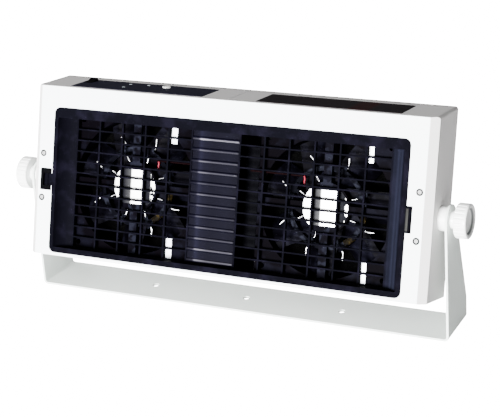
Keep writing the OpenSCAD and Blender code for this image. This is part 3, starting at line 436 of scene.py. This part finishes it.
def windings(name):
    """Copper-coloured wire, as fine ridges."""
    mat, tree, shader, coords = patterned(name)
    wave = tree.nodes.new("ShaderNodeTexWave")
    wave.inputs["Scale"].default_value = 600
    tree.links.new(coords, wave.inputs["Vector"])
    copper = mixed(tree, wave.outputs["Fac"], (0.25, 0.09, 0.03), (0.72, 0.36, 0.15))
    tree.links.new(copper, shader.inputs["Base Color"])
    shader.inputs["Metallic"].default_value = 0.7
    shader.inputs["Roughness"].default_value = 0.35
    bump(tree, shader, wave.outputs["Fac"], 0.8, 0.0002)
    return mat


# Colour and roughness of the plain finishes, then what differs from the usual.
PLAIN = {
    "stand_paint": dict(colour=(0.69, 0.74, 0.71), rough=0.45, grain=1400, relief=0.00006,
        tint=0.015, gloss=0.2),
    "case_plastic": dict(colour=(0.66, 0.645, 0.64), rough=0.6, grain=2200, relief=0.00005,
        tint=0.015, gloss=0.2),
    "panel_plastic": dict(colour=(0.88, 0.92, 0.94), rough=0.55, grain=2200, relief=0.00005,
        tint=0.01, gloss=0.2),
    "guard_plastic": dict(colour=(0.006, 0.006, 0.006), rough=0.5, tint=0.1, gloss=0.1),
    "overlay_black": dict(colour=(0.012, 0.012, 0.024), rough=0.5, grain=3000, relief=0.00003,
        tint=0.15, gloss=0.01),
    "black_plastic": dict(colour=(0.0006, 0.0006, 0.0009), rough=0.5, tint=0.2, gloss=0.008),
    "white_plastic": dict(colour=(0.88, 0.89, 0.88), rough=0.35, tint=0.015, gloss=0.4),
    "light_lens": dict(colour=(0.55, 0.62, 0.66), rough=0.15, tint=0.05, coat=0.4),
    "board_green": dict(colour=(0.02, 0.16, 0.07), rough=0.4, tint=0.15),
    "steel": dict(colour=(0.62, 0.62, 0.63), rough=0.28, metal=1.0, stretch=(1, 1, 30)),
    "screw_steel": dict(colour=(0.66, 0.66, 0.66), rough=0.35, metal=1.0),
    "needle_steel": dict(colour=(0.88, 0.88, 0.9), rough=0.3, metal=0.6),
    "clip_steel": dict(colour=(0.8, 0.82, 0.88), rough=0.4, metal=0.3, stretch=(20, 1, 1)),
    "module_resin": dict(colour=(0.0005, 0.0005, 0.0010), rough=0.45, tint=0.4, gloss=0.006),
    "catch_grip": dict(colour=(0.0075, 0.0075, 0.0070), rough=0.5, tint=0.3, patch=300, gloss=0.05),
    # The pale finish of the painted highlight along the seam on the top.
    "seam_highlight": dict(colour=(0.93, 0.92, 0.92), rough=0.5, tint=0.05, gloss=0.2),
    "rear_line": dict(colour=(0.22, 0.21, 0.21), rough=0.6, tint=0.2, gloss=0.05),
    "lead_red": dict(colour=(0.0018, 0.0004, 0.0006), rough=0.4, tint=0.3, gloss=0.01),
    "sleeve_red": dict(colour=(0.11, 0.006, 0.014), rough=0.4, tint=0.5, patch=300, gloss=0.1),
    # The dark finish of the painted shade over the gaps round the screw heads.
    "screw_gap_shade": dict(colour=(0.0012, 0.0012, 0.0012), rough=0.7, tint=0.2, gloss=0.004),
    "head_steel": dict(colour=(0.35, 0.35, 0.35), rough=0.5, tint=0.4, patch=900, gloss=0.3),
    "dark_steel": dict(colour=(0.003, 0.003, 0.004), rough=0.5, tint=0.3, gloss=0.02),
    "insert_brass": dict(colour=(0.72, 0.52, 0.22), rough=0.35, metal=1.0),
}
# Colour, colour of the patches of painted dull reflection and their scale.
PATCHY = {
    "rotor_plastic": dict(colour=(0.0006, 0.0005, 0.0010), light=(0.0022, 0.0021, 0.0040),
        patch=70, gloss=0.006),
    "ring_plastic": dict(colour=(0.0006, 0.0006, 0.0012), light=(0.0060, 0.0065, 0.0100), patch=160),
    "coil_gold": dict(colour=(0.003, 0.0022, 0.0008), light=(0.020, 0.014, 0.004), patch=300, gloss=0.03),
}
FINISH = {
    **{name: surface(name, **how) for name, how in PLAIN.items()},
    **{name: mottled(name, **how) for name, how in PATCHY.items()},
    "overlay_brown": name_plate("overlay_brown"),
    "knob_plastic": knob("knob_plastic"),
    "grille_plastic": grille_moulding("grille_plastic"),
    "louvre_plastic": louvre("louvre_plastic"),
    "fan_plastic": fan_moulding("fan_plastic"),
    "filter_foam": foam("filter_foam", (0.001, 0.001, 0.001)),
    "winding": windings("winding"),
}
LABELS = {f"{side}_hub_label": foil(f"{side}_foil", side) for side in FAN}


def dress(obj, mat):
    obj.data.materials.clear()
    obj.data.materials.append(mat)


# ---------------------------------------------------------------- pieces
# Corners closer than this are one, faces within this angle are flat, and edges past this one are rounded.
MERGE = 2e-6
FLAT = math.radians(0.5)
SHARP = math.radians(32)
# A face looks inwards if the housing's middle is at least this far in front of it.
INWARD = 1 * MM


def softened(node, width, shade_inside=None):
    """A CAD piece again, its sharp edges rounded; the faces that look inwards may have another finish, as painted
    shade inside the housing.
    """
    mesh = nodes[node].data.copy()
    mesh.name = node + "_soft"
    work = bmesh.new()
    work.from_mesh(mesh)
    bmesh.ops.remove_doubles(work, verts=work.verts, dist=MERGE)
    bmesh.ops.dissolve_limit(
        work, angle_limit=FLAT, verts=work.verts, edges=work.edges, use_dissolve_boundaries=False)
    work.to_mesh(mesh)
    work.free()
    piece = placed(node + "_soft", mesh)
    for polygon in mesh.polygons:
        polygon.use_smooth = True
    edge = piece.modifiers.new("edges", "BEVEL")
    edge.width = width
    edge.segments = 2
    edge.limit_method = "ANGLE"
    edge.angle_limit = SHARP
    edge.use_clamp_overlap = False
    weigh = piece.modifiers.new("normals", "WEIGHTED_NORMAL")
    weigh.weight = 100
    dress(piece, FINISH[slot_of[node]])
    if shade_inside:
        mesh.materials.append(FINISH[shade_inside])
        for polygon in mesh.polygons:
            inward = (polygon.center - HOUSING_MIDDLE).dot(polygon.normal) < -INWARD
            polygon.material_index = 1 if inward else 0
    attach(piece, body_of[node])
    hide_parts(node)


# How far the edges are rounded, in millimetres.
CASE_EDGE = 0.3
SOFT_EDGES = {
    "stand_bracket": 0.35, "front_panel": 0.3,
    "left_spacer": 0.25, "right_spacer": 0.25, "hinge_yoke": 0.2, "grille_catch": 0.2,
}


def on_fan(side, radius, turn, depth):
    """A point round a fan's axis; depth is measured forward from the axis point."""
    return FAN[side] + (ACROSS * math.cos(turn) + UP * math.sin(turn)) * radius + FORWARD * depth


def wire(name, runs, thick, mat, body, stands_for=()):
    """Round wires through runs of points, as one piece."""
    data = bpy.data.curves.new(name, "CURVE")
    data.dimensions = "3D"
    data.bevel_depth = thick / 2
    data.bevel_resolution = 2
    data.use_fill_caps = True
    data.resolution_u = 4
    for points in runs:
        spline = data.splines.new("NURBS")
        spline.points.add(len(points) - 1)
        for place, point in zip(spline.points, points):
            place.co = (*point, 1)
        spline.use_endpoint_u = True
        spline.order_u = 3
    data.materials.append(FINISH[mat])
    piece = placed(name, data)
    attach(piece, body)
    if stands_for:
        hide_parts(*stands_for)


NEEDLES = 8
NEEDLE_THICK = 0.8 * MM
# How far each needle is bent sideways along its length, in radians, point end first.
NEEDLE_BENDS = (0.0, 0.05, -0.02, -0.05, 0.02)


def needle_spots(side):
    """The corners of a fan's CAD needles from its axis point, and their mean depth."""
    spots = [vertex.co - FAN[side] for vertex in nodes[f"{side}_needles"].data.vertices]
    return spots, sum(spot.dot(FORWARD) for spot in spots) / len(spots)


def needles(side):
    """The emitter needles again, as thin, slightly bent wires."""
    node = f"{side}_needles"
    spots, depth = needle_spots(side)
    radii = [math.hypot(spot.dot(ACROSS), spot.dot(UP)) for spot in spots]
    runs = []
    for index in range(NEEDLES):
        turn = (index + 0.5) * math.tau / NEEDLES
        way = 1 if index % 3 else -1
        runs.append([
            on_fan(side, min(radii) + (max(radii) - min(radii)) * place / (len(NEEDLE_BENDS) - 1),
                   turn + bend * way, depth)
            for place, bend in enumerate(NEEDLE_BENDS)
        ])
    wire(f"{side}_needle_wires", runs, NEEDLE_THICK, "needle_steel", body_of[node], (node,))


# Where the gold-coloured windings sit on an emitter ring, in degrees round the fan's axis.
COIL_SPANS = ((-58, -43), (-16, -4))
COIL_TURNS = 9
STEPS_PER_TURN = 8
RING_MIDDLE = 32 * MM
COIL_OUT = 2.5 * MM
COIL_DEEP = 1.75 * MM
COIL_THICK = 0.7 * MM


def coils(side):
    """Short gold-coloured windings round the ring, low and to the right of each fan's axis."""
    depth = needle_spots(side)[1]
    steps = COIL_TURNS * STEPS_PER_TURN
    runs = []
    for start, end in COIL_SPANS:
        run = []
        for step in range(steps + 1):
            round_wire = math.tau * COIL_TURNS * step / steps
            turn = math.radians(start + (end - start) * step / steps)
            run.append(on_fan(side, RING_MIDDLE + COIL_OUT * math.cos(round_wire), turn,
                              depth + COIL_DEEP * math.sin(round_wire)))
        runs.append(run)
    wire(f"{side}_coils", runs, COIL_THICK, "coil_gold", body_of[f"{side}_needles"])


# How many of a lead's corners mark its end at the ring, and where its sleeve runs from there, in
# millimetres across and down.
LEAD_END = 12
SLEEVE_RUN = ((0, 0), (1.2, 2), (0.2, 5), (1.4, 8.5))
SLEEVE_THICK = 1.6 * MM


def lead_sleeve(side):
    """The short bright sleeve where a lead reaches its emitter ring, dropping beside the ring."""
    node = f"{side}_lead"
    spots = (vertex.co for vertex in nodes[node].data.vertices)
    ends = sorted(spots, key=lambda spot: abs(spot.x - FAN[side].x))
    tip = sum(ends[:LEAD_END], Vector()) / LEAD_END
    run = [tip + ACROSS * across * MM - UP * down * MM for across, down in SLEEVE_RUN]
    wire(f"{side}_lead_sleeve", [run], SLEEVE_THICK, "sleeve_red", body_of[node])


def made(name, work, mat, like):
    """A piece from a bmesh with a given finish, on the body of a node."""
    mesh = bpy.data.meshes.new(name)
    work.to_mesh(mesh)
    work.free()
    piece = placed(name, mesh)
    dress(piece, FINISH[mat])
    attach(piece, body_of[like])
    return piece


# The grip on the catch: its two sides from the catch's outer side, its half height, how far it goes
# behind and in front of the catch's face, and the rounding of its edges.
GRIP_SIDES = (3.7 * MM, 1.3 * MM)
GRIP_HALF = 9 * MM
GRIP_SUNK = 0.4 * MM
GRIP_PROUD = 0.5 * MM
GRIP_EDGE = 0.35 * MM


def catch_grip():
    """The paler ridge that a finger pulls, a bevelled bar on the face of the catch."""
    near, far = reach("grille_catch")
    middle = (near[1] + far[1]) / 2
    low = (far[0] - GRIP_SIDES[0], middle - GRIP_HALF, far[2] - GRIP_SUNK)
    high = (far[0] - GRIP_SIDES[1], middle + GRIP_HALF, far[2] + GRIP_PROUD)
    work = bmesh.new()
    corners = [[(low, high)[pick[axis]][axis] for axis in range(3)] for pick in
               ((0, 0, 0), (1, 0, 0), (1, 1, 0), (0, 1, 0), (0, 0, 1), (1, 0, 1), (1, 1, 1), (0, 1, 1))]
    verts = [work.verts.new(ACROSS * x + UP * y + FORWARD * z) for x, y, z in corners]
    for face in ((0, 3, 2, 1), (4, 5, 6, 7), (0, 1, 5, 4), (1, 2, 6, 5), (2, 3, 7, 6), (3, 0, 4, 7)):
        work.faces.new([verts[index] for index in face])
    bmesh.ops.recalc_face_normals(work, faces=work.faces)
    bmesh.ops.bevel(work, geom=work.edges, offset=GRIP_EDGE, segments=3, profile=0.5, affect="EDGES")
    piece = made("catch_grip", work, "catch_grip", "grille_catch")
    for polygon in piece.data.polygons:
        polygon.use_smooth = True


# The lines on the top, in millimetres: the seam's points forward, the rear line's place and points across.
SEAM_POINTS = (20, 40, 61)
REAR_FORWARD = 21
REAR_POINTS = (-173, 0, 173)
SEAM_THICK = 0.8 * MM
REAR_THICK = 0.7 * MM
# How far below the control panel's face the wires' middles lie.
LINE_SUNK = 0.42 * MM
# Corners this near an end of the control panel belong to it.
END_NEAR = 0.5 * MM


def top_lines():
    """A pale line of painted highlight where the case halves meet on the top, and the fine line along its rear."""
    spots = [vertex.co for vertex in nodes["control_panel"].data.vertices]
    ends = [pick(spot.dot(FORWARD) for spot in spots) for pick in (min, max)]
    tops = [max(s.dot(UP) for s in spots if abs(s.dot(FORWARD) - end) < END_NEAR) for end in ends]

    def on_top(x, forward):
        lift = tops[0] + (tops[1] - tops[0]) * (forward - ends[0]) / (ends[1] - ends[0])
        return ACROSS * x + UP * (lift - LINE_SUNK) + FORWARD * forward

    like = "left_case_half"
    seam = [on_top(0, forward * MM) for forward in SEAM_POINTS]
    # The seam's pale wire is a painted highlight.
    wire("top_seam_highlight", [seam], SEAM_THICK, "seam_highlight", body_of[like])
    rear = [on_top(x * MM, REAR_FORWARD * MM) for x in REAR_POINTS]
    wire("rear_line", [rear], REAR_THICK, "rear_line", body_of[like])


# The ring's section: how far from the screw's axis, and how far proud of the front panel.
GAP_SECTION = (
    (1.55 * MM, -0.3 * MM), (2.85 * MM, -0.3 * MM), (2.85 * MM, 0.08 * MM), (1.55 * MM, 0.08 * MM))


GAP_STEPS = 32
# Corners closer than this across the axis belong to one screw, and its head's face is this deep at most.
ONE_SCREW = 8 * MM
HEAD_FACE = 0.3 * MM


def screw_gap_shading():
    """A dark ring of painted shade on the front panel round each sunk screw head, over the gap there."""
    front = reach("front_screws")[1][2]
    skin = reach("front_panel")[1][2]
    screws = []
    for vertex in nodes["front_screws"].data.vertices:
        spot = vertex.co
        near = next((spots for spots in screws if (spots[0] - spot).cross(FORWARD).length < ONE_SCREW), None)
        if near:
            near.append(spot)
        else:
            screws.append([spot])
    work = bmesh.new()
    steps = GAP_STEPS
    for spots in screws:
        heads = [spot for spot in spots if spot.dot(FORWARD) > front - HEAD_FACE]
        x = (min(s.dot(ACROSS) for s in heads) + max(s.dot(ACROSS) for s in heads)) / 2
        y = (min(s.dot(UP) for s in heads) + max(s.dot(UP) for s in heads)) / 2
        rings = [
            [work.verts.new(ACROSS * (x + radius * math.cos(math.tau * i / steps))
                            + UP * (y + radius * math.sin(math.tau * i / steps)) + FORWARD * (skin + lift))
             for i in range(steps)]
            for radius, lift in GAP_SECTION
        ]
        for ring, other in zip(rings, rings[1:] + rings[:1]):
            for i in range(steps):
                j = (i + 1) % steps
                work.faces.new((ring[i], ring[j], other[j], other[i]))
    bmesh.ops.recalc_face_normals(work, faces=work.faces)
    # The rings are painted shade over the screw gaps.
    made("front_screw_gap_shading", work, "screw_gap_shade", "front_screws")


# ---------------------------------------------------------------- stage and light
# How bright the floor and the world look to the camera, and how bright the world is otherwise.
WHITE = 20
AMBIENT = 0.30
FLOOR_HALF = 6
FLOOR_DROP = 0.0003
# Each light's place, its width in metres and its power in watts; both shine at the target.
LIGHTS = {
    "key": ((-0.2, -2.6, 0.28), 1.0, 760),
    "back": ((-2.0, 0.6, 1.8), 1.2, 48),
}
TARGET = Vector((0, 0, 0.1))


def floor():
    mesh = bpy.data.meshes.new("floor")
    signs = ((-1, -1), (1, -1), (1, 1), (-1, 1))
    mesh.from_pydata([(x * FLOOR_HALF, y * FLOOR_HALF, 0) for x, y in signs], [], [(0, 1, 2, 3)])
    obj = placed("floor", mesh)
    mat, tree, shader = new_material("floor")
    shader.inputs["Base Color"].default_value = (0.9, 0.9, 0.9, 1)
    shader.inputs["Roughness"].default_value = 0.9
    shader.inputs["Emission Color"].default_value = (1, 1, 1, 1)
    seen = tree.nodes.new("ShaderNodeLightPath").outputs["Is Camera Ray"]
    tree.links.new(ranged(tree, seen, 0.0, WHITE), shader.inputs["Emission Strength"])
    obj.data.materials.append(mat)
    obj.location.z = -FLOOR_DROP


def area_light(name, place, size, power):
    data = bpy.data.lights.new(name, "AREA")
    data.shape = "DISK"
    data.size = size
    data.energy = power
    obj = placed(name, data)
    obj.location = place
    obj.rotation_euler = (TARGET - Vector(place)).to_track_quat("-Z", "Y").to_euler()


def lighting():
    world = bpy.data.worlds.new("studio")
    world.use_nodes = True
    tree = world.node_tree
    background = tree.nodes["Background"]
    background.inputs["Color"].default_value = (1, 1, 1, 1)
    seen = tree.nodes.new("ShaderNodeLightPath").outputs["Is Camera Ray"]
    tree.links.new(ranged(tree, seen, AMBIENT, WHITE), background.inputs["Strength"])
    bpy.context.scene.world = world
    for name, (place, size, power) in LIGHTS.items():
        area_light(name, place, size, power)


camera()
floor()
lighting()
for name, obj in nodes.items():
    dress(obj, LABELS[name] if name in LABELS else FINISH[slot_of[name]])
for name in ("fan_screws", "hinge_pin"):
    dress(nodes[name], FINISH["dark_steel"])
dress(nodes["front_screws"], FINISH["head_steel"])
for name, width in SOFT_EDGES.items():
    softened(name, width * MM)
# The case halves and rear cover: their inward faces take black, as painted shade inside the housing.
for name in ("left_case_half", "right_case_half", "rear_cover"):
    softened(name, CASE_EDGE * MM, shade_inside="black_plastic")
for side in FAN:
    needles(side)
    coils(side)
    lead_sleeve(side)
screw_gap_shading()
catch_grip()
top_lines()
